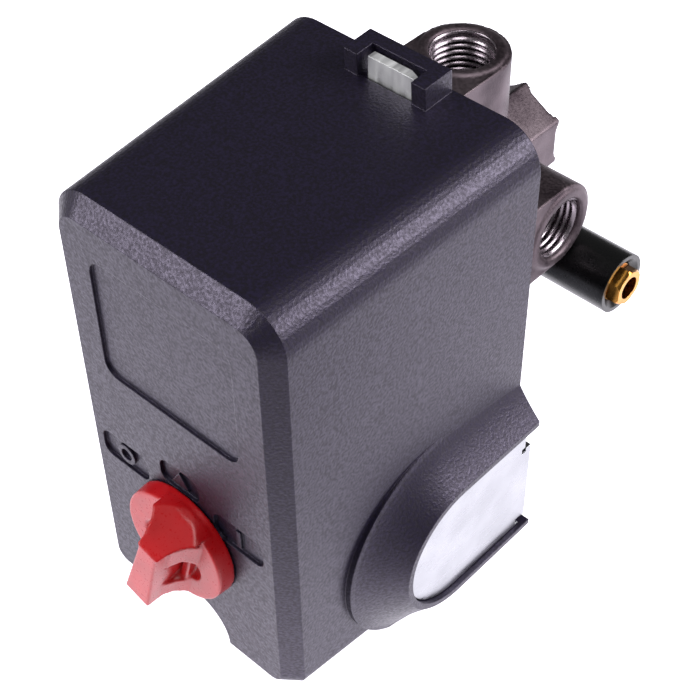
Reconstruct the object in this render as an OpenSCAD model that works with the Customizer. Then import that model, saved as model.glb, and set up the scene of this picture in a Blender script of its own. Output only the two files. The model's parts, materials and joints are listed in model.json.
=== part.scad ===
// Four-port air compressor pressure switch.
// X runs to the right, Y from the knob to the inlet, Z up, in millimetres.
// Pieces are drawn from the lower edge of the cover's front face, then moved
// so that the outer end of the inlet's bore wall is the origin.

/* [Cover] */
// Width of the front face
cover_w = 58; // [50:0.5:70]
// Height of the front face
cover_h = 105; // [90:1:120]
// Depth of the cover
cover_d = 66.7; // [60:0.1:80]
// Wall thickness
wall = 2.2; // [1.6:0.1:3]
// Draft of the sides, mm per mm of depth
draft = 0.0535; // [0.01:0.0005:0.08]
// Chamfer around the front face, across
bevel_in = 3.7; // [1:0.1:6]
// Chamfer around the front face, deep
bevel_back = 3.2; // [1:0.1:6]
// Radius of the long upper edges
edge_r = 8.9; // [3:0.1:14]

/* [Knob] */
// Height of the knob axis above the front's lower edge
knob_z = 29.6; // [25:0.1:40]
// Radius of the knob skirt
knob_r = 13.6; // [10:0.1:18]
// Projection of the grip from the front
grip_h = 12.8; // [8:0.1:18]
// Turn of the knob as assembled, degrees
knob_turn = 17.5; // [-60:0.5:60]

/* [Ports] */
// Height of the port axes above the front's lower edge
port_z = 73.2; // [65:0.1:85]
// Distance of the side and top ports behind the front
port_y = 83.2; // [78:0.1:95]
// Distance of the inlet mouth behind the front
inlet_y = 106; // [100:0.5:120]
// Reach of the top port above the axes
top_reach = 31.2; // [25:0.1:40]
// Reach of the side ports from the middle
side_reach = 27.8; // [22:0.1:36]
// Half width of a port boss
boss_r = 9.9; // [8.5:0.1:12]
// Radius of a port bore, quarter inch pipe thread
bore_r = 6.7; // [6:0.05:8]
// Length of a port bore
bore_len = 15; // [10:0.5:20]
// Size across flats of the inlet hexagon
hex_af = 19; // [17:0.5:24]

/* [Unloader] */
// Distance of the unloader axis behind the front
unl_y = 92.6; // [88:0.1:100]
// Height of the unloader axis
unl_z = 58; // [50:0.1:62]
// Radius of the sleeve
sleeve_r = 6.8; // [5:0.1:9]
// Outer end of the sleeve
sleeve_x = 37.8; // [30:0.1:45]

/* [Frame] */
// Sheet thickness of plate and frame
sheet = 1.6; // [1:0.1:2.5]
// Back face of the base plate
plate_y = 66; // [62:0.1:68]
// Outer face of the side ears, from the middle
ear_x = 37.2; // [34:0.1:40]
// Radius of the ears' round front
ear_r = 15.4; // [12:0.1:18]

/* [Hidden] */
$fn = 48;
eps = 0.02;
lean = atan(draft);
dish = 0.8;
chamfer = 0.5;
origin_y = inlet_y - dish - chamfer;
web_y = plate_y - 2 * sheet;
ear_cy = 42.2;
ear_cz = 19.6;
rim_x = 38.35;
rim_t = 1.4;
flare_r = 27;
catch_x = 1.2;
knob_x = 0.8;
flange_at = [[-17, -15.5], [17, -15.5], [-17, 10.5], [17, 10.5]];
axle_z = 44;
axle_y = 57;
lever_y = 56;
spring_z = 90.5;
diff_x = 14;
cheek_x = 24;
block_y = 22;
block_z0 = 44;
block_z1 = 81;
pole_x = 11;
pole_z = 63;
pin_x = -11;
pin_z = 38;
crank_x = -4.2;
crank_y = 71;

// ---------- helpers ----------

// Moves a piece from the drawing frame to the shared frame.
module placed() {
    translate([0, -origin_y, -port_z]) children();
}

// Cylinder along Y from y0 to y1 at (x, z).
module rod_y(x, z, y0, y1, r) {
    translate([x, y0, z]) rotate([-90, 0, 0]) cylinder(r = r, h = y1 - y0);
}

// Cylinder along X from x0 to x1 at (y, z).
module rod_x(y, z, x0, x1, r) {
    translate([x0, y, z]) rotate([0, 90, 0]) cylinder(r = r, h = x1 - x0);
}

// Cone along Y from y0 to y1 at (x, z).
module cone_y(x, z, y0, y1, r0, r1) {
    translate([x, y0, z]) rotate([-90, 0, 0]) cylinder(r1 = r0, r2 = r1, h = y1 - y0);
}

// Hexagonal bar along Y, corners up and down.
module hex_y(x, z, y0, y1, af) {
    translate([x, y0, z]) rotate([-90, 30, 0]) cylinder(r = af / sqrt(3), h = y1 - y0, $fn = 6);
}

// Box from one corner to the opposite one.
module box(a, b) {
    translate(a) cube(b - a);
}

// Rounded plate in the XZ plane from y0 to y1.
module plate_y(x0, x1, z0, z1, y0, y1, r) {
    for (x = [x0 + r, x1 - r], z = [z0 + r, z1 - r]) rod_y(x, z, y0, y1, r);
    box([x0 + r, y0, z0], [x1 - r, y1, z1]);
    box([x0, y0, z0 + r], [x1, y1, z1 - r]);
}

// Sheet outlined in Y and Z, from x0 to x1.
module sheet_x(x0, x1, points) {
    translate([x0, 0, 0]) rotate([90, 0, 90]) linear_extrude(x1 - x0) polygon(points);
}

// Both sides of a piece drawn on the right.
module both_sides() {
    children();
    mirror([1, 0, 0]) children();
}

// Round-wire coil rising along Z: mean radius, wire radius, length, turns.
module coil(r, wire, len, turns) {
    n = 8;
    pitch = (len - 2 * wire) / turns;
    sweep = 360 * wire / pitch;
    ring = [for (i = [0:n - 1]) let (a = 360 * i / n, s = sweep * sin(a), q = r + wire * cos(a))
        [q * cos(s), q * sin(s)]];
    translate([0, 0, wire])
        linear_extrude(pitch * turns, twist = -360 * turns, slices = 12 * turns, $fn = n) polygon(ring);
    for (z = [0, len - wire * 1.2])
        translate([0, 0, z]) difference() {
            cylinder(r = r + wire, h = wire * 1.2);
            translate([0, 0, -1]) cylinder(r = r - wire, h = wire + 2);
        }
}

// Pan-head screw along Y: head from y0 forward, shank to y1.
module screw_y(x, z, y0, y1, head_r, head_h, shank_r, slot = true) {
    difference() {
        rod_y(x, z, y0 - head_h, y0, head_r);
        if (slot) {
            box([x - head_r, y0 - head_h - 1, z - 0.5], [x + head_r, y0 - head_h * 0.5, z + 0.5]);
            box([x - 0.5, y0 - head_h - 1, z - head_r], [x + 0.5, y0 - head_h * 0.5, z + head_r]);
        }
    }
    rod_y(x, z, y0 - eps, y1, shank_r);
}

// ---------- cover ----------

function half_w(y) = cover_w / 2 + draft * y;
function top_z(y) = cover_h + draft * y;
function low_z(y) = -draft * y;

// Four thin corner discs of one cross-section of the cover.
module section(y, half, z0, z1, r_up, r_low) {
    for (s = [-1, 1]) {
        rod_y(s * (half - r_up), z1 - r_up, y, y + eps, r_up, $fn = 48);
        rod_y(s * (half - r_low), z0 + r_low, y, y + eps, r_low, $fn = 24);
    }
}

// Drafted body with the chamfered front.
module cover_solid() {
    hull() {
        section(0, cover_w / 2 - bevel_in, 0, cover_h - bevel_in, 4.8, 3);
        section(bevel_back, half_w(bevel_back), low_z(bevel_back), top_z(bevel_back), edge_r, 3);
        section(cover_d - eps, half_w(cover_d), low_z(cover_d), top_z(cover_d), edge_r, 3);
    }
}

// Room inside the cover.
module cover_room() {
    hull() {
        section(wall + 0.4, cover_w / 2 - 4, wall, cover_h - 4, 4, 1);
        section(bevel_back + 2, half_w(5) - wall, low_z(5) + wall, top_z(5) - wall, edge_r - wall, 1);
        section(cover_d + 1, half_w(cover_d) - wall, low_z(cover_d) + wall,
                top_z(cover_d) - wall, edge_r - wall, 1);
    }
}

// Concave flare between the side wall and the rim around an ear: radius from the ear's
// middle, then distance from the cover's middle plane.
function flare_profile() = let (inner = ear_r + 0.3 + rim_t, rise = 7.1) concat(
    [[ear_r - 1, 26], [ear_r - 1, rim_x]],
    [for (t = [0:0.1:1]) [inner + (flare_r - inner) * t,
                          rim_x - rise * (1 - pow(1 - t, 1.35))]],
    [[flare_r, 26]]);

module flare() {
    translate([0, ear_cy, ear_cz]) {
        rotate([90, 0, 90]) rotate([0, 0, 90]) rotate_extrude(angle = 180, $fn = 96)
            polygon(flare_profile());
        for (s = [0, 1])
            mirror([0, 0, s]) rotate([-90, -90, 0])
                linear_extrude(cover_d - ear_cy) polygon(flare_profile());
    }
}

// U-shaped opening for an ear.
module ear_opening() {
    rod_x(ear_cy, ear_cz, 20, 45, ear_r + 0.3, $fn = 96);
    box([20, ear_cy, ear_cz - ear_r - 0.3], [45, cover_d + 1, ear_cz + ear_r + 0.3]);
}

// Places a piece on the sloping top face.
module on_top() {
    translate([0, 0, cover_h]) rotate([lean, 0, 0]) children();
}

// Shallow pocket in the front face.
module pocket(x0, x1, z0, z1, deep, r) {
    plate_y(x0, x1, z0, z1, -1, deep, r);
}

module cover_marks() {
    pocket(-18.2, 18.4, 64, 93.6, 0.7, 3.5);
    pocket(-23.2, -9.6, 37.3, 44.5, 0.8, 2.4);
    pocket(9.2, 22.8, 37.1, 44.3, 0.8, 2.4);
    pocket(-5.5, 5.5, 42.6, 49, 0.8, 2.4);
}

// Raised signs in the pockets: ring for off, wedge for automatic, bar for on.
module cover_signs() {
    difference() {
        rod_y(-16.4, 40.9, 0.1, 0.9, 2.5);
        rod_y(-16.4, 40.9, -1, 2, 1.5);
    }
    box([15.4, 0.1, 38.3], [16.6, 0.9, 43.1]);
    translate([0, 0.9, 45.8]) rotate([90, 0, 0])
        linear_extrude(0.8) polygon([[-2.4, -1.6], [2.4, -1.6], [0, 2.2]]);
}

module cover() {
    color([0.09, 0.09, 0.11]) placed() {
        difference() {
            union() {
                cover_solid();
                intersection() {
                    both_sides() flare();
                    box([-50, 0, low_z(cover_d) + 0.6], [50, cover_d, 60]);
                }
            }
            difference() {
                cover_room();
                rod_y(0, 0, 0, 14, 12);
            }
            both_sides() ear_opening();
            rod_y(0, 0, -1, 12, 10);
            rod_y(knob_x, knob_z, -1, 6, 7);
            cover_marks();
            on_top() box([catch_x - 6.7, 59.3, -5], [catch_x + 6.7, cover_d + 4, 0.5]);
        }
        cover_signs();
        on_top() difference() {
            union() {
                box([catch_x - 10.1, 58.8, -1], [catch_x - 6.7, 66.4, 5]);
                box([catch_x + 6.7, 58.8, -1], [catch_x + 10.1, 66.4, 5]);
                box([catch_x - 10.1, 63.3, 2.4], [catch_x + 10.1, 66.4, 5]);
            }
            box([catch_x - 6.7, 50, -2], [catch_x + 6.7, 63.3, 6]);
        }
    }
}

// ---------- knob and cam ----------

// Places a piece on the selector's axis, turned to the setting at rest.
module on_selector() {
    translate([knob_x, 0, knob_z]) rotate([0, knob_turn, 0]) children();
}

module grip_outline() {
    polygon([[-3.4, -12.6], [3.4, -12.6], [2.4, 8], [3.2, 9.8], [4.6, 11.2], [7, 12.4], [9, 13.6],
             [-9, 13.6], [-7, 12.4], [-4.6, 11.2], [-3.2, 9.8], [-2.4, 8]]);
}

// Sloping foot between a flank of the grip and the disc.
module grip_foot() {
    translate([0, 0, -11.6]) linear_extrude(21)
        polygon([[2, -9.5], [3.2, -9.5], [4.4, -6.4], [6.4, -4], [2, -4]]);
}

module knob() {
    color([0.78, 0.06, 0.07]) placed() on_selector() {
        difference() {
            union() {
                difference() {
                    union() {
                        cone_y(0, 0, -4.2, -0.3, knob_r - 0.3, knob_r, $fn = 96);
                        both_sides() grip_foot();
                    }
                    both_sides() translate([4.8, -7.4, -1.8]) sphere(r = 4.7);
                }
                intersection() {
                    rotate([90, 0, 0]) linear_extrude(grip_h) grip_outline();
                    sheet_x(-10, 10, [[-2, -12.6], [-grip_h, -11.7], [-grip_h, 9], [-3.6, 13.4],
                                      [-2, 13.6]]);
                    rod_y(0, 0, -20, 0, knob_r, $fn = 96);
                }
                both_sides() translate([4.3, 0, 0.2]) rotate([0, -3.5, 0])
                    box([-0.95, -4.9, -9], [0.95, -1, 5]);
                rod_y(0, 0, -1, 9, 6.4);
            }
            box([-2.7, 1, -2.7], [2.7, 10, 2.7]);
        }
    }
}

module cam_shaft() {
    color([0.75, 0.76, 0.78]) placed() on_selector() {
        box([-2.5, 2, -2.5], [2.5, 12, 2.5]);
        rod_y(0, 0, 11, 52, 4);
    }
}

module cam() {
    color([0.92, 0.9, 0.84]) placed() on_selector() {
        difference() {
            union() {
                rod_y(0, 0, 43, 50, 9);
                intersection() {
                    rod_y(0, 0, 43, 54.6, 9);
                    box([-9, 43, -9], [-2, 54.6, 2]);
                }
            }
            rod_y(0, 0, 40, 60, 4);
            for (a = [-45, 0, 45]) rotate([0, a, 0]) rod_y(0, -9.6, 42, 48, 1.5);
        }
    }
}

module shaft_bracket() {
    color([0.8, 0.81, 0.84]) placed() {
        difference() {
            union() {
                box([-cheek_x + sheet, 34, 22], [cheek_x - sheet, 34 + sheet, 40]);
                both_sides() box([cheek_x - 2 * sheet, 34, 26], [cheek_x - sheet, 42, 40]);
                box([-6, 34, knob_z - 13], [6, 34 + sheet, 22]);
            }
            rod_y(knob_x, knob_z, 30, 40, 6);
        }
    }
}

module shaft_bush() {
    color([0.93, 0.93, 0.9]) placed() difference() {
        union() {
            rod_y(knob_x, knob_z, 32.4, 34, 8);
            rod_y(knob_x, knob_z, 33, 38.6, 6);
        }
        rod_y(knob_x, knob_z, 30, 42, 4.1);
    }
}

module detent_spring() {
    color([0.7, 0.71, 0.74]) placed() translate([knob_x, 34 + sheet, knob_z]) {
        box([-4, 0, -12.8], [4, 0.6, -9.6]);
        box([-4, 0, -12.8], [4, 14.4, -12.2]);
        difference() {
            rod_y(0, -12.2, 7.9, 11.9, 2.1);
            box([-5, 4, -21], [5, 15, -12.8]);
        }
    }
}

// ---------- frame ----------

module ear() {
    difference() {
        union() {
            rod_x(ear_cy, ear_cz, ear_x - sheet, ear_x, ear_r, $fn = 96);
            box([ear_x - sheet, ear_cy, ear_cz - ear_r], [ear_x, 64, ear_cz + ear_r]);
            box([ear_x - sheet, 60, 6], [ear_x, plate_y, 29.2]);
        }
        both_notches();
    }
    box([28, plate_y - sheet, 6], [ear_x, plate_y, 29.2]);
}

module both_notches() {
    for (z = [4.6, 28.2]) box([ear_x - 3, 63, z], [ear_x + 1, plate_y + 1, z + 1.6]);
}

module base_plate() {
    color([0.84, 0.85, 0.88]) placed() difference() {
        union() {
            plate_y(-29.8, 29.8, -0.8, 105.8, plate_y - sheet, plate_y, 6);
            both_sides() ear();
        }
        rod_y(0, port_z, 60, 70, 9.2);
        rod_y(0, spring_z, 60, 70, 3);
        rod_y(diff_x, spring_z, 60, 70, 2);
        rod_y(pin_x, pin_z, 60, 70, 2);
        for (p = flange_at) rod_y(p.x, port_z + p.y, 60, 70, 2.6);
        for (x = [-9, 5]) rod_y(x, 28, 60, 70, 2);
        rod_y(18, 12, 60, 70, 2);
    }
}

module side_frame() {
    color([0.8, 0.81, 0.84]) placed() difference() {
        union() {
            box([-cheek_x, web_y, 34], [cheek_x, web_y + sheet, 101.4]);
            both_sides() {
                box([cheek_x - sheet, 24, 42], [cheek_x, web_y + sheet, 84]);
                box([cheek_x - sheet, 31, 24], [cheek_x, web_y, 101.4]);
            }
            box([-cheek_x, 31, 100], [cheek_x, 42, 101.4]);
        }
        rod_y(0, port_z, 60, 70, 9.6);
        rod_y(0, spring_z, 60, 70, 5.2);
        rod_y(diff_x, spring_z, 60, 70, 3.5);
        rod_y(pin_x, pin_z, 60, 70, 2.4);
        for (p = flange_at) rod_y(p.x, port_z + p.y, 60, 70, 2.6);
        rod_x(axle_y, axle_z, -30, 30, 2.05);
        for (z = [52, 74]) rod_x(31, z, -30, 30, 1.7);
    }
}

module latch_spring() {
    color([0.85, 0.86, 0.89]) placed() {
        box([catch_x - 5.2, 33, 101.4], [catch_x + 6.2, 61.2, 102.2]);
        translate([catch_x, 0, 101.4]) linear_extrude(top_z(60) + 4.5 - 101.4)
            polygon([[-5.2, 59.9], [6.2, 59.9], [6.2, 61], [4, 61.9], [-5.2, 61.9]]);
    }
}

// ---------- manifold ----------

// Port bore along +Z from the origin down, with its mouth chamfer.
module port_bore(len) {
    translate([0, 0, -bore_len]) cylinder(r = bore_r, h = bore_len + 1);
    translate([0, 0, -chamfer]) cylinder(r1 = bore_r, r2 = bore_r + chamfer, h = chamfer);
    translate([0, 0, -len]) cylinder(r = 4.2, h = len);
}

// Straight-sided boss with a round back, rising along +Z.
module port_boss(len) {
    cylinder(r = boss_r, h = len);
    box([-boss_r, plate_y + 5 - port_y, 0], [boss_r, 0, len]);
    translate([0, 0, len - eps]) cylinder(r = boss_r - 1, h = 0.6);
}

module manifold() {
    color([0.62, 0.59, 0.58]) placed() difference() {
        union() {
            plate_y(-21, 21, port_z - 21, port_z + 21, plate_y, plate_y + 5.5, 5);
            translate([0, port_y, port_z]) {
                port_boss(top_reach - 0.6);
                rotate([0, 90, 0]) port_boss(side_reach - 0.6);
                rotate([0, -90, 0]) port_boss(side_reach - 0.6);
                sphere(r = boss_r);
            }
            hex_y(0, port_z, port_y, inlet_y, hex_af);
        }
        translate([0, port_y, port_z]) {
            translate([0, 0, top_reach]) port_bore(top_reach);
            rotate([0, 90, 0]) translate([0, 0, side_reach]) port_bore(side_reach);
            rotate([0, -90, 0]) translate([0, 0, side_reach]) port_bore(side_reach);
        }
        translate([0, inlet_y - dish, port_z]) rotate([-90, 0, 0]) port_bore(inlet_y - plate_y - 3);
        cone_y(0, port_z, inlet_y - dish, inlet_y + 0.4, 9.9, 10.5);
        rod_y(0, port_z, plate_y - 1, plate_y + 1.2, 16.6);
        rod_y(0, port_z, plate_y, plate_y + 3, 13.6);
        for (p = flange_at) rod_y(p.x, port_z + p.y, plate_y - 1, plate_y + 6, 2.5);
    }
}

module diaphragm() {
    color([0.12, 0.12, 0.12]) placed() rod_y(0, port_z, plate_y, plate_y + 1.2, 16.4);
}

module pressure_pad() {
    color([0.8, 0.8, 0.82]) placed() {
        rod_y(0, port_z, lever_y + 4.5, plate_y, 8.8);
        rod_y(0, port_z, lever_y + 2.25, lever_y + 5, 2);
    }
}

module flange_screws() {
    color([0.82, 0.82, 0.84]) placed()
        for (p = flange_at) screw_y(p.x, port_z + p.y, web_y, plate_y + 5, 3.8, 2.4, 2.5);
}

// ---------- lever and springs ----------

module main_lever() {
    color([0.78, 0.79, 0.82]) placed() difference() {
        union() {
            plate_y(-19, 19, 46, 98, lever_y, lever_y + 2, 3);
            plate_y(-15, 15, 27, 50, lever_y, lever_y + 2, 2);
            rod_x(axle_y, axle_z, -20, 20, 3.4);
        }
        rod_x(axle_y, axle_z, -30, 30, 2.05);
        rod_y(0, spring_z, 50, 60, 4.4);
        rod_y(diff_x, spring_z, 50, 60, 3);
    }
}

module pivot_pin() {
    color([0.7, 0.71, 0.73]) placed() {
        rod_x(axle_y, axle_z, -25, 25, 2);
        rod_x(axle_y, axle_z, -26.4, -24.4, 3.2);
        rod_x(axle_y, axle_z, 24.4, 26.4, 3.2);
    }
}

module range_stud() {
    color([0.72, 0.73, 0.75]) placed() {
        rod_y(0, spring_z, 14, plate_y, 3);
        rod_y(0, spring_z, 61, plate_y - sheet, 5);
    }
}

module range_spring() {
    color([0.4, 0.42, 0.45]) placed()
        translate([0, 25.2, spring_z]) rotate([-90, 0, 0]) coil(6.2, 1.2, 30.7, 7);
}

module range_seat() {
    color([0.8, 0.8, 0.82]) placed() difference() {
        union() {
            rod_y(0, spring_z, 23.6, 25, 7.6);
            rod_y(0, spring_z, 24.9, 27.5, 3.9);
        }
        rod_y(0, spring_z, 20, 30, 3.1);
    }
}

module range_nut() {
    color([0.75, 0.76, 0.78]) placed() difference() {
        hex_y(0, spring_z, 17.6, 23.5, 12);
        rod_y(0, spring_z, 10, 30, 3);
    }
}

module diff_stud() {
    color([0.72, 0.73, 0.75]) placed() {
        rod_y(diff_x, spring_z, 32, plate_y, 2);
        rod_y(diff_x, spring_z, 61, plate_y - sheet, 3.3);
    }
}

module diff_spring() {
    color([0.5, 0.52, 0.55]) placed()
        translate([diff_x, 41, spring_z]) rotate([-90, 0, 0]) coil(3.3, 0.6, 14.9, 6);
}

module diff_nut() {
    color([0.75, 0.76, 0.78]) placed() difference() {
        union() {
            hex_y(diff_x, spring_z, 36.4, 40, 7);
            rod_y(diff_x, spring_z, 39.9, 40.9, 4.2);
        }
        rod_y(diff_x, spring_z, 30, 50, 2);
    }
}

// ---------- contacts ----------

module contact_block() {
    color([0.14, 0.12, 0.11]) placed() difference() {
        union() {
            plate_y(-22.2, 22.2, block_z0, block_z1, block_y, 40, 1.5);
            for (x = [-22.2, -1.4, 19.4]) for (z = [block_z0, block_z1 - 11])
                box([x, 15, z], [x + 2.8, block_y + 1, z + 11]);
        }
        both_sides() plate_y(pole_x - 4.5, pole_x + 4.5, pole_z - 5, pole_z + 5, 10, 50, 1);
        box([-3.4, 10, pole_z - 3.4], [3.4, 50, pole_z + 3.4]);
        for (x = [-pole_x, pole_x], z = [pole_z - 14, pole_z + 14]) rod_y(x, z, 20, 32, 1.75);
        for (z = [52, 74]) rod_x(31, z, -30, -17, 1.5);
        for (z = [52, 74]) rod_x(31, z, 17, 30, 1.5);
    }
}

module terminals() {
    color([0.83, 0.66, 0.3]) placed()
        for (x = [-pole_x, pole_x], s = [-1, 1])
            difference() {
                union() {
                    box([x - 4, 20.6, pole_z + s * 11 - 6.5], [x + 4, block_y, pole_z + s * 11 + 6.5]);
                    rod_y(x, pole_z + s * 7, 19.6, 21, 2);
                }
                rod_y(x, pole_z + s * 14, 10, 30, 1.75);
            }
}

module terminal_screws() {
    color([0.82, 0.82, 0.84]) placed()
        for (x = [-pole_x, pole_x], z = [pole_z - 14, pole_z + 14])
            screw_y(x, z, 20.6, 30, 3.4, 2.2, 1.75);
}

module block_screws() {
    color([0.82, 0.82, 0.84]) placed()
        for (s = [-1, 1], z = [52, 74])
            scale([s, 1, 1]) {
                rod_x(31, z, cheek_x, cheek_x + 1.6, 2.8);
                rod_x(31, z, 17.5, cheek_x + eps, 1.5);
            }
}

module contact_carrier() {
    color([0.9, 0.88, 0.8]) placed() difference() {
        union() {
            box([-3, 11, pole_z - 3], [3, lever_y - 1.6, pole_z + 3]);
            rod_y(0, pole_z, lever_y - 2, lever_y - 0.15, 1.5);
            box([-15, 11, pole_z - 3], [15, 13.6, pole_z + 3]);
        }
        both_sides() rod_y(pole_x, pole_z, 10, 12.4, 1.6);
    }
}

module contact_bridges() {
    color([0.8, 0.5, 0.3]) placed()
        for (x = [-pole_x, pole_x]) {
            box([x - 3, 17.2, pole_z - 9.4], [x + 3, 18.2, pole_z + 9.4]);
            for (s = [-1, 1]) rod_y(x, pole_z + s * 7, 18.1, 19.55, 2);
        }
}

module contact_springs() {
    color([0.7, 0.71, 0.74]) placed()
        for (x = [-pole_x, pole_x])
            translate([x, 13.6, pole_z]) rotate([-90, 0, 0]) coil(2, 0.35, 3.6, 3);
}

module earth_screw() {
    color([0.2, 0.5, 0.25]) placed() {
        rod_y(18, 12, 63.4, plate_y - sheet, 4.6);
        screw_y(18, 12, 63.4, plate_y + 3, 3.6, 2.4, 2);
    }
}

// ---------- unloader ----------

// Side strap that carries the valve, outlined in Y and Z.
strap = [[plate_y, 24], [plate_y + 6, 24], [90, 52.5], [96, 54], [96, 61], [87, 61],
         [plate_y + 8, 50], [plate_y, 50]];
// Crank arm that reaches the plunger, outlined in Y and Z.
crank = [[crank_y - 1, 35.5], [crank_y + 5, 35.5], [90, 53], [97, 53], [97, 61.5], [86, 61.5],
         [crank_y + 2, 40.5], [crank_y - 1, 40.5]];

module unloader_bracket() {
    color([0.84, 0.85, 0.88]) placed() difference() {
        union() {
            box([-14, plate_y, 24], [10, plate_y + sheet, 50]);
            sheet_x(8.4, 10, strap);
            rod_x(unl_y, unl_z, 8.4, 10, 6.2);
            for (z = [32, 42.6]) {
                box([crank_x - 2.4, plate_y + 0.5, z], [crank_x + 2.4, crank_y, z + 1.4]);
                translate([crank_x, crank_y, z]) cylinder(r = 3, h = 1.4);
            }
        }
        translate([crank_x, crank_y, 20]) cylinder(r = 1.5, h = 40);
        rod_y(pin_x, pin_z, 60, 70, 2);
        for (x = [-9, 5]) rod_y(x, 28, 60, 70, 2);
        rod_x(unl_y, unl_z, 0, 20, 4);
    }
}

module bracket_screws() {
    color([0.82, 0.82, 0.84]) placed()
        for (x = [-9, 5]) {
            rod_y(x, 28, 61, plate_y + sheet + 0.1, 2);
            rod_y(x, 28, plate_y + sheet, plate_y + sheet + 2.4, 3.2);
        }
}

module unloader_lever() {
    color([0.8, 0.81, 0.84]) placed() difference() {
        union() {
            translate([crank_x, crank_y, 33.6]) cylinder(r = 2.8, h = 8.8);
            box([pin_x - 2.6, crank_y - 0.8, 36], [crank_x, crank_y + 0.8, 40]);
            sheet_x(crank_x - 0.8, crank_x + 0.8, crank);
        }
        translate([crank_x, crank_y, 20]) cylinder(r = 1.55, h = 40);
    }
}

module crank_pin() {
    color([0.7, 0.71, 0.73]) placed() translate([crank_x, crank_y, 31]) {
        cylinder(r = 1.5, h = 14);
        translate([0, 0, 13]) cylinder(r = 2.4, h = 1);
    }
}

module push_pin() {
    color([0.93, 0.93, 0.9]) placed() {
        rod_y(pin_x, pin_z, lever_y + 2.1, crank_y - 0.9, 1);
        rod_y(pin_x, pin_z, lever_y + 3, crank_y - 1.8, 1.9);
    }
}

module unloader_body() {
    color([0.85, 0.66, 0.3]) placed() difference() {
        union() {
            rod_x(unl_y, unl_z, 4, 12, 4);
            rod_x(unl_y, unl_z, 11, 30, 3.4);
            rod_x(unl_y, unl_z, 29, sleeve_x - 1.2, 4.3);
            intersection() {
                translate([sleeve_x - 2, unl_y, unl_z]) rotate([0, 90, 0])
                    cylinder(r = 4.3, h = 4, $fn = 6);
                translate([sleeve_x - 2, unl_y, unl_z]) rotate([0, 90, 0])
                    cylinder(r1 = 6.3, r2 = 3.9, h = 4);
            }
            rod_x(unl_y, unl_z, 10, 12, 6);
        }
        rod_x(unl_y, unl_z, 3, 20, 1.6);
        rod_x(unl_y, unl_z, 8, 28, 2.4);
        rod_x(unl_y, unl_z, 27, 45, 2.6);
    }
}

module unloader_sleeve() {
    color([0.05, 0.05, 0.06]) placed() difference() {
        rod_x(unl_y, unl_z, 12.1, sleeve_x, sleeve_r, $fn = 64);
        rod_x(unl_y, unl_z, 12, 45, 4.5);
        translate([sleeve_x - 1.2, unl_y, unl_z]) rotate([0, 90, 0])
            cylinder(r1 = 4.5, r2 = 5.9, h = 1.3);
    }
}

module unloader_nut() {
    color([0.85, 0.66, 0.3]) placed() difference() {
        translate([5.2, unl_y, unl_z]) rotate([0, 90, 0]) cylinder(r = 6, h = 3.2, $fn = 6);
        rod_x(unl_y, unl_z, 0, 20, 4);
    }
}

module unloader_plunger() {
    color([0.75, 0.76, 0.78]) placed() {
        rod_x(unl_y, unl_z, crank_x + 1, 20, 1.5);
        rod_x(unl_y, unl_z, 19, 21, 2.3);
    }
}

module unloader_spring() {
    color([0.7, 0.71, 0.74]) placed()
        translate([21.1, unl_y, unl_z]) rotate([0, 90, 0]) coil(1.9, 0.3, 5.8, 5);
}

cover();
knob();
cam_shaft();
cam();
shaft_bracket();
shaft_bush();
detent_spring();
base_plate();
side_frame();
latch_spring();
manifold();
diaphragm();
pressure_pad();
flange_screws();
main_lever();
pivot_pin();
range_stud();
range_spring();
range_seat();
range_nut();
diff_stud();
diff_spring();
diff_nut();
contact_block();
terminals();
terminal_screws();
block_screws();
contact_carrier();
contact_bridges();
contact_springs();
earth_screw();
unloader_bracket();
bracket_screws();
unloader_lever();
crank_pin();
push_pin();
unloader_body();
unloader_sleeve();
unloader_nut();
unloader_plunger();
unloader_spring();
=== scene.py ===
"""Looks of the air compressor pressure switch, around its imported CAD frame."""

import json
import math

import bmesh
import bpy
from mathutils import Matrix, Vector


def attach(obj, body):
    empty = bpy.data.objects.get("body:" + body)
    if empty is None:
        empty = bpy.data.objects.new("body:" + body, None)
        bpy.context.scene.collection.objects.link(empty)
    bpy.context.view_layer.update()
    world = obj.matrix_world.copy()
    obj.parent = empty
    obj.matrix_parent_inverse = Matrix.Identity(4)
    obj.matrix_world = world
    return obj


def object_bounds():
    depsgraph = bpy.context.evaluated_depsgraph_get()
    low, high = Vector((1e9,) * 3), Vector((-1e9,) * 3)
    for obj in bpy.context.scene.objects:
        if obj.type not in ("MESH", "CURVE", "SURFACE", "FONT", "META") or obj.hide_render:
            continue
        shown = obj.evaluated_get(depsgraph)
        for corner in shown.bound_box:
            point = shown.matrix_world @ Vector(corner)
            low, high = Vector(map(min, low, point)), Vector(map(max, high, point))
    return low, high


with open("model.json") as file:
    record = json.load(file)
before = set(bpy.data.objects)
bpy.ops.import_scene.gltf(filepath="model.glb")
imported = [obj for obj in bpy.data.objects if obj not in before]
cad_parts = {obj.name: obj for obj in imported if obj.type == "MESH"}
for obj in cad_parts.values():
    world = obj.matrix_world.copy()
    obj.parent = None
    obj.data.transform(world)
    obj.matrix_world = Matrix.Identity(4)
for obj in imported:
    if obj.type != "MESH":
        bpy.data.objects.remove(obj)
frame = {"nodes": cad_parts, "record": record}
cad_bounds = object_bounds()

MM = 0.001
nodes = frame["nodes"]

# The shared frame's origin, the inlet's mouth, in the drawing: its zero is at the lower edge
# of the cover's front face.
ORIGIN = Vector((0, 104.7, 73.2))


def at(x, y, z):
    """A point of the drawing, in millimetres, as a place in the shared frame."""
    return (Vector((x, y, z)) - ORIGIN) * MM


# ---------- camera and soft boxes ----------

def look(eye, forward, up):
    """Matrix of a camera or light at eye that looks forward."""
    back = -Vector(forward).normalized()
    right = Vector(up).cross(back).normalized()
    rows = Matrix((right, back.cross(right), back)).transposed().to_4x4()
    rows.translation = eye
    return rows


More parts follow.
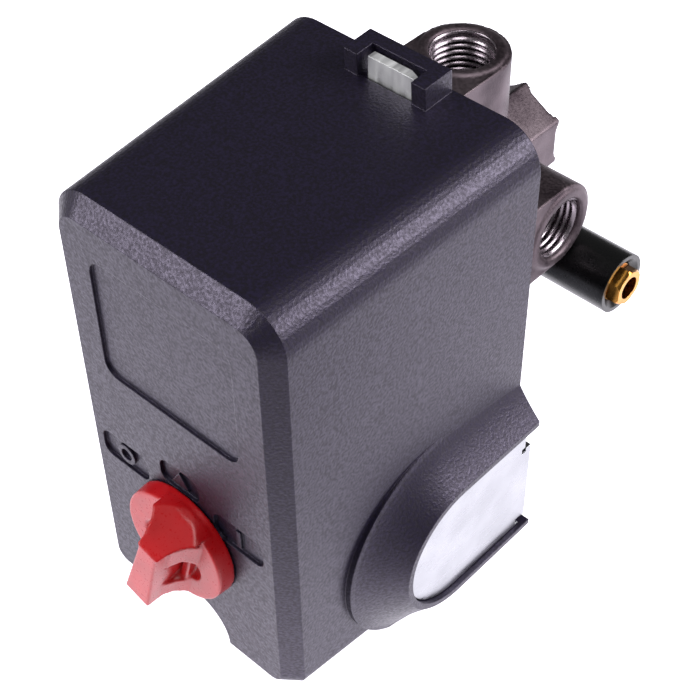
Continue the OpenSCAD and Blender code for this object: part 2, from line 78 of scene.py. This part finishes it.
camera_data = bpy.data.cameras.new("camera")
camera_data.sensor_width = 36
camera_data.lens = 80.55
camera = bpy.data.objects.new("camera", camera_data)
bpy.context.scene.collection.objects.link(camera)
# High above the right of the knob, rolled so that the switch leans to the left.
camera.matrix_world = look(at(160.28, -121.66, 282.0), (-0.4808, 0.5136, -0.7107),
                           (-0.4749, 0.5288, 0.7035))
bpy.context.scene.camera = camera

MIDDLE = at(0, 50, 50)


def softbox(name, direction, reach, width, height, power):
    """Soft rectangular light that faces the middle of the switch from a direction."""
    data = bpy.data.lights.new(name, "AREA")
    data.shape = "RECTANGLE"
    data.size = width
    data.size_y = height
    data.energy = power
    light = bpy.data.objects.new(name, data)
    bpy.context.scene.collection.objects.link(light)
    aim = Vector(direction).normalized()
    light.matrix_world = look(MIDDLE + aim * reach, -aim, (0, 0, 1))


# The left box shines in the chamfer over the panel, the right one in the long rounded edge.
softbox("softbox_left", (-0.48, -0.76, 0.47), reach=0.75, width=0.42, height=0.26, power=3.8)
softbox("softbox_right", (0.74, 0.50, 0.56), reach=0.75, width=0.52, height=0.34, power=6.4)
softbox("softbox_top", (0.35, -0.25, 1.0), reach=0.9, width=0.35, height=0.35, power=3.0)


# ---------- shader helpers ----------

def linear(code):
    """sRGB hex as linear RGBA."""
    channels = [int(code[i:i + 2], 16) / 255 for i in (1, 3, 5)]
    return [c / 12.92 if c <= 0.04045 else ((c + 0.055) / 1.055) ** 2.4 for c in channels] + [1]


def add(tree, kind, settings=(), links=()):
    """Adds a shader node, sets its sockets or properties by name and links its inputs."""
    made = tree.nodes.new(kind)
    for key, value in dict(settings).items():
        if isinstance(key, int) or key in made.inputs:
            made.inputs[key].default_value = value
        else:
            setattr(made, key, value)
    for key, source in dict(links).items():
        tree.links.new(source, made.inputs[key])
    return made


def material(name):
    """New material with an empty tree and object coordinates."""
    made = bpy.data.materials.new(name)
    made.use_nodes = True
    made.node_tree.nodes.clear()
    place = add(made.node_tree, "ShaderNodeTexCoord").outputs["Object"]
    return made, made.node_tree, place


def ramp(tree, source, low, high, start=0.3, end=0.7):
    """Blends from colour low to high as source goes from start to end."""
    made = add(tree, "ShaderNodeValToRGB", {}, {"Fac": source})
    first, last = made.color_ramp.elements
    first.position, last.position = start, end
    first.color, last.color = low, high
    return made.outputs["Color"]


def grey(value):
    return [value, value, value, 1]


def per_metre(size_mm):
    """Texture scale whose pattern repeats about every size_mm."""
    return 1000 / size_mm


def noise(tree, place, size_mm, detail=2.0):
    """Noise that varies over about size_mm, from 0 to 1."""
    made = add(tree, "ShaderNodeTexNoise", {"Scale": per_metre(size_mm), "Detail": detail},
               {"Vector": place})
    return made.outputs["Fac"]


def skin_normal(tree, height, edge_mm, edge_samples, strength, depth_mm):
    """Normal of a surface with broken edges and a fine relief."""
    edge = add(tree, "ShaderNodeBevel", {"Radius": edge_mm * MM, "samples": edge_samples})
    relief = add(tree, "ShaderNodeBump", {"Strength": strength, "Distance": depth_mm * MM},
                 {"Height": height, "Normal": edge.outputs["Normal"]})
    return relief.outputs["Normal"]


def surface(tree, settings, links):
    """Closes a material with one principled shader."""
    shader = add(tree, "ShaderNodeBsdfPrincipled", settings, links)
    add(tree, "ShaderNodeOutputMaterial", {}, {"Surface": shader.outputs["BSDF"]})


# ---------- finishes ----------

def spark_textured_abs():
    """Black moulded ABS with a spark-eroded grain that glints violet-grey.

    The real grain is near 0.15 mm; it is drawn at 0.6 mm, so that it shows."""
    made, tree, place = material("spark_textured_abs")
    grain = noise(tree, place, 0.6)
    pits = add(tree, "ShaderNodeTexVoronoi", {"Scale": per_metre(0.7)}, {"Vector": place})
    colour = ramp(tree, grain, linear("#07050C"), linear("#1B1729"), 0.36, 0.66)
    rough = ramp(tree, grain, grey(0.50), grey(0.34), 0.35, 0.65)
    grained = skin_normal(tree, grain, 0.35, 4, 1.0, 0.08)
    pitted = add(tree, "ShaderNodeBump", {"Strength": 0.12, "Distance": 0.08 * MM},
                 {"Height": pits.outputs["Distance"], "Normal": grained})
    surface(tree, {"IOR": 1.53, "Specular Tint": [0.86, 0.76, 1.0, 1]},
            {"Base Color": colour, "Roughness": rough, "Normal": pitted.outputs["Normal"]})
    return made


def red_nylon():
    """Red moulded nylon of the knob: semi-gloss, with faint flow marks and soft edges."""
    made, tree, place = material("red_nylon")
    skin = noise(tree, place, 0.6)
    colour = ramp(tree, noise(tree, place, 6), linear("#A8060C"), linear("#B80E16"))
    rough = ramp(tree, skin, grey(0.26), grey(0.36))
    surface(tree, {"IOR": 1.46, "Subsurface Weight": 0.06, "Subsurface Scale": 1.5 * MM},
            {"Base Color": colour, "Roughness": rough,
             "Normal": skin_normal(tree, skin, 0.7, 6, 0.06, 0.03)})
    return made


def metal(name, dark, light, rough, grain_mm, bump_mm=0.02, streak=(1, 1, 1), edge_mm=0.2,
          strength=0.25):
    """Metal with a mottled tone and a grain that a streak below 1 stretches along its axis."""
    made, tree, place = material(name)
    along = add(tree, "ShaderNodeMapping", {"Scale": streak}, {"Vector": place})
    grain = noise(tree, along.outputs["Vector"], grain_mm, 4.0)
    mottle = add(tree, "ShaderNodeMath", {"operation": "MULTIPLY_ADD", 1: 0.5},
                 {0: grain, 2: noise(tree, place, 9)})
    colour = ramp(tree, mottle.outputs["Value"], linear(dark), linear(light), 0.55, 0.95)
    surface(tree, {"Metallic": 1.0},
            {"Base Color": colour, "Roughness": ramp(tree, grain, grey(rough[0]), grey(rough[1])),
             "Normal": skin_normal(tree, grain, edge_mm, 4, strength, bump_mm)})
    return made


def moulding(name, dark, light, rough, skin_mm, bump_mm, ior):
    """Moulded plastic or rubber with a slight skin and a cloudy tone."""
    made, tree, place = material(name)
    skin = noise(tree, place, skin_mm, 3.0)
    surface(tree, {"IOR": ior},
            {"Base Color": ramp(tree, noise(tree, place, 12), linear(dark), linear(light)),
             "Roughness": ramp(tree, skin, grey(rough[0]), grey(rough[1])),
             "Normal": skin_normal(tree, skin, 0.3, 4, 0.15, bump_mm)})
    return made


# The table's painted glow is fullest inside the first distance and least beyond the second, in
# metres.
GLOW_NEAR, GLOW_FAR = 0.22, 0.60
GLOW_MOST, GLOW_LEAST = 1.5, 0.34
# Towards the camera and its right the glow is cut by painted shade, so that the cover's corner and
# flare, which reflect the table, stay dark.
SHADE_WAY = (0.7925, -0.6275, 0)
SHADE_NEAR, SHADE_FAR, SHADE_LEAST = 0.092, 0.15, 0.08


def table_painted_glow():
    """Matt pale table top with a painted glow: bright under the switch, dimmer far away, and cut by
    painted shade towards the camera.
    """
    made, tree, place = material("table_painted_glow")
    haze = noise(tree, place, 3, 4.0)
    colour = ramp(tree, haze, linear("#C2C0C6"), linear("#C8C6CC"))
    distance = add(tree, "ShaderNodeVectorMath", {"operation": "LENGTH"}, {0: place})
    glow = add(tree, "ShaderNodeMapRange",
               {"interpolation_type": "SMOOTHSTEP", 1: GLOW_NEAR, 2: GLOW_FAR, 3: GLOW_MOST,
                4: GLOW_LEAST}, {0: distance.outputs["Value"]})
    ahead = add(tree, "ShaderNodeVectorMath", {"operation": "DOT_PRODUCT", 1: SHADE_WAY}, {0: place})
    shade = add(tree, "ShaderNodeMapRange",
                {"interpolation_type": "SMOOTHSTEP", 1: SHADE_NEAR, 2: SHADE_FAR, 3: 1.0,
                 4: SHADE_LEAST}, {0: ahead.outputs["Value"]})
    strength = add(tree, "ShaderNodeMath", {"operation": "MULTIPLY"},
                   {0: glow.outputs["Result"], 1: shade.outputs["Result"]})
    # Painted light: the emission, shaped by the painted glow and painted shade masks above, stands in
    # for studio light.
    surface(tree, {"Roughness": 0.9, "Emission Color": linear("#F7F4FD")},
            {"Base Color": colour, "Emission Strength": strength.outputs["Value"]})
    return made


finishes = {
    "cover_abs": spark_textured_abs(),
    "knob_red": red_nylon(),
    # Bright zinc plating on rolled sheet: pale, faintly blue, finely streaked.
    "zinc_steel": metal("zinc_plated_steel", "#9FA0A5", "#ADAEB3", (0.24, 0.36), 0.9,
                        streak=(1, 0.12, 1)),
    # Turned steel: satin, a fine even grain.
    "steel": metal("turned_steel", "#9FA1A6", "#BFC1C5", (0.22, 0.36), 0.5),
    # Oiled spring wire: dark, smooth.
    "spring_steel": metal("spring_wire", "#5B5D62", "#7E8085", (0.25, 0.38), 0.6),
    # Die-cast aluminium: dull brown-grey skin with a sandy grain and soft edges.
    "cast_aluminium": metal("die_cast_aluminium", "#463C42", "#74686E", (0.42, 0.60), 0.55,
                            bump_mm=0.09, edge_mm=0.5, strength=0.45),
    # Freshly cut aluminium of the tapped ports: brighter than the casting.
    "cut_aluminium": metal("cut_aluminium", "#847A82", "#A0969D", (0.22, 0.34), 0.5),
    # Brushed steel catch, brushed across its width; its pale tone is partly painted light, paler than
    # the steel so that it looks lit by the soft boxes.
    "brushed_catch_painted_light": metal("brushed_catch_painted_light", "#C9C9CC", "#F6F6F7", (0.45, 0.70), 1.2,
                           bump_mm=0.05, streak=(1, 0.1, 0.1), strength=0.5),
    # Nitrile sheet: matt black.
    "nitrile": moulding("nitrile_rubber", "#141414", "#1A1A1A", (0.6, 0.75), 0.5, 0.05, ior=1.5),
    # Phenolic moulding: dark brown-black, slightly glossy.
    "phenolic": moulding("phenolic_moulding", "#1D1815", "#282019", (0.32, 0.45), 0.8, 0.03, ior=1.6),
    # Natural acetal: milky white, waxy.
    "acetal": moulding("natural_acetal", "#E2DFD6", "#ECEAE3", (0.35, 0.45), 0.8, 0.02, ior=1.48),
    # Turned brass: warm, bright.
    "brass": metal("turned_brass", "#B8782C", "#DA9F4C", (0.12, 0.24), 0.35),
    # Copper strip of the moving contacts: warm, satin.
    "copper_silver": metal("copper_strip", "#B87848", "#D09468", (0.25, 0.38), 0.6),
    # Green passivated earth screw: a coloured film on zinc.
    "earth_green": metal("green_passivate", "#3F7D47", "#5B9A60", (0.3, 0.42), 0.6),
    # Satin black sleeve: smooth moulded plastic.
    "sleeve_black": moulding("satin_black_sleeve", "#020203", "#040405", (0.26, 0.34), 0.5, 0.02,
                             ior=1.5),
}

# The catch is brushed and painted paler, as if lit, unlike the other pieces of its record slot.
own_finish = {"latch_spring": "brushed_catch_painted_light"}
slots = {entry["node"]: entry["material_slot"] for entry in frame["record"]["subparts"]}
SHARP = math.radians(30)
for name, piece in nodes.items():
    piece.data.materials.clear()
    piece.data.materials.append(finishes[own_finish.get(name, slots[name])])
    for face in piece.data.polygons:
        face.use_smooth = True
    piece.data.set_sharp_from_angle(angle=SHARP)
    even = piece.modifiers.new("even_shading", "WEIGHTED_NORMAL")
    even.keep_sharp = True
    even.weight = 80


def soften(name, grid_mm, rounds):
    """Rounds every edge and corner of a node as moulding or casting does."""
    piece = nodes[name]
    piece.modifiers.remove(piece.modifiers["even_shading"])
    skin = piece.modifiers.new("skin", "REMESH")
    skin.mode = "VOXEL"
    skin.voxel_size = grid_mm * MM
    skin.use_smooth_shade = True
    relax = piece.modifiers.new("rounding", "SMOOTH")
    relax.factor = 0.5
    relax.iterations = rounds


soften("knob", grid_mm=0.2, rounds=9)
soften("manifold", grid_mm=0.3, rounds=5)


# ---------- port threads ----------

PITCH = 25.4 / 18
WALL_R = 6.7
CREST_R = 5.85
THREAD_LEN = 12.6
RUN_IN = 0.7
SEGMENTS = 48
ROOT_R = WALL_R + 0.05
# Section of one turn, as radius and place along the port: root, flank, crest, flank, root.
PROFILE = [(ROOT_R, -0.68), (WALL_R - 0.1, -0.62), (CREST_R, -0.09), (CREST_R, 0.09),
           (WALL_R - 0.1, 0.62), (ROOT_R, 0.68)]


def sweep(mesh, rings):
    """Joins rings of points into one closed tube."""
    made = [[mesh.verts.new(point) for point in ring] for ring in rings]
    for first, second in zip(made, made[1:]):
        count = len(first)
        for i in range(count):
            after = (i + 1) % count
            mesh.faces.new((first[i], first[after], second[after], second[i]))
    mesh.faces.new(list(reversed(made[0])))
    mesh.faces.new(made[-1])


def thread_ring(share, turns, mouth, along, first, second):
    """Section of the thread at a share of its length; the first and last turns fade out."""
    angle = 2 * math.pi * turns * share
    out = first * math.cos(angle) + second * math.sin(angle)
    height = min(1, share * turns * 1.5, (1 - share) * turns * 1.5)
    sink = RUN_IN + THREAD_LEN * share
    return [(mouth + out * (ROOT_R + (radius - ROOT_R) * height) - along * (sink + shift)) * MM
            for radius, shift in PROFILE]


def port_thread(name, mouth, direction):
    """Pipe thread inside a port, from just under the chamfer inwards, fixed to the frame."""
    along = Vector(direction)
    first = along.orthogonal().normalized()
    second = along.cross(first)
    turns = THREAD_LEN / PITCH
    steps = SEGMENTS * round(turns)
    mesh = bmesh.new()
    sweep(mesh, [thread_ring(step / steps, turns, mouth, along, first, second)
                 for step in range(steps + 1)])
    bmesh.ops.recalc_face_normals(mesh, faces=mesh.faces)
    data = bpy.data.meshes.new(name)
    mesh.normal_update()
    mesh.to_mesh(data)
    mesh.free()
    for face in data.polygons:
        face.use_smooth = True
    data.materials.append(finishes["cut_aluminium"])
    thread = bpy.data.objects.new(name, data)
    bpy.context.scene.collection.objects.link(thread)
    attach(thread, "frame")


PORT_Y, PORT_Z = 83.2, 73.2
SIDE_REACH, TOP_REACH = 27.8, 31.2
INLET_MOUTH = 105.2
for name, mouth, direction in (
        ("thread_top", (0, PORT_Y, PORT_Z + TOP_REACH), (0, 0, 1)),
        ("thread_right", (SIDE_REACH, PORT_Y, PORT_Z), (1, 0, 0)),
        ("thread_left", (-SIDE_REACH, PORT_Y, PORT_Z), (-1, 0, 0)),
        ("thread_inlet", (0, INLET_MOUTH, PORT_Z), (0, 1, 0))):
    port_thread(name, Vector(mouth) - ORIGIN, direction)


# ---------- table and studio ----------

TABLE_HALF = 2.5
mesh = bmesh.new()
bmesh.ops.create_grid(mesh, x_segments=8, y_segments=8, size=TABLE_HALF)
bmesh.ops.translate(mesh, verts=mesh.verts, vec=(0, 0, cad_bounds[0][2]))
table_data = bpy.data.meshes.new("floor")
mesh.to_mesh(table_data)
mesh.free()
# The table's material paints a glow and a shade onto it.
table_data.materials.append(table_painted_glow())
table = bpy.data.objects.new("floor", table_data)
bpy.context.scene.collection.objects.link(table)

world = bpy.data.worlds.new("studio")
world.use_nodes = True
background = world.node_tree.nodes["Background"]
background.inputs["Color"].default_value = grey(1.0)
background.inputs["Strength"].default_value = 0.12
bpy.context.scene.world = world
bpy.context.scene.view_settings.view_transform = "Standard"
